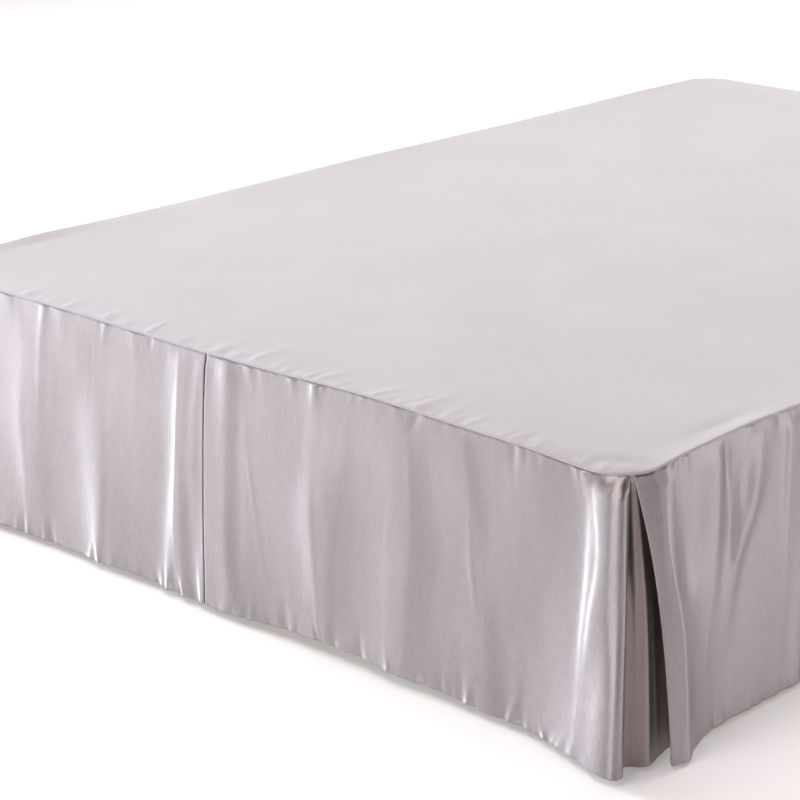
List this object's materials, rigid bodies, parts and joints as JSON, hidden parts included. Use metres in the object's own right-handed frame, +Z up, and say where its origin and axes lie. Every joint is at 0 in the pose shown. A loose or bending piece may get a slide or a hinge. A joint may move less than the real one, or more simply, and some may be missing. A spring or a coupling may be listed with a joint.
{
  "type": "bed skirt on a plain bed base",
  "caption": "Tailored satin bed skirt with a flat deck, inverted pleats and split foot corners, fitted over a plain bed base on legs.",
  "frame": {"origin": "on the floor, under the middle of the whole object's box", "axes": "+Z up, the foot of the bed faces -Y and the open head end +Y, +X is the side at the right when facing the foot"},
  "size_m": [1.4524, 2.0886, 0.3949],
  "materials": {
    "satin": "silver satin with a soft sheen, vertical grain",
    "deck_cloth": "matte plain weave, pale pink-grey",
    "ticking": "plain matte cotton cover",
    "timber": "plain planed softwood, oiled"
  },
  "bodies": {
    "root": {"deck": "deck_cloth", "foot_drop_left": "satin", "foot_drop_right": "satin", "left_drop_foot": "satin", "left_drop_head": "satin", "right_drop_foot": "satin", "right_drop_head": "satin", "foot_pleat_underlay": "satin", "left_pleat_underlay": "satin", "right_pleat_underlay": "satin", "left_corner_inset": "satin", "right_corner_inset": "satin", "bed_base": "ticking", "rail_left": "timber", "rail_right": "timber", "rail_foot": "timber", "rail_middle": "timber", "rail_head": "timber", "leg_left_foot": "timber", "leg_left_middle": "timber", "leg_left_head": "timber", "leg_right_foot": "timber", "leg_right_middle": "timber", "leg_right_head": "timber"}
  },
  "joints": []
}
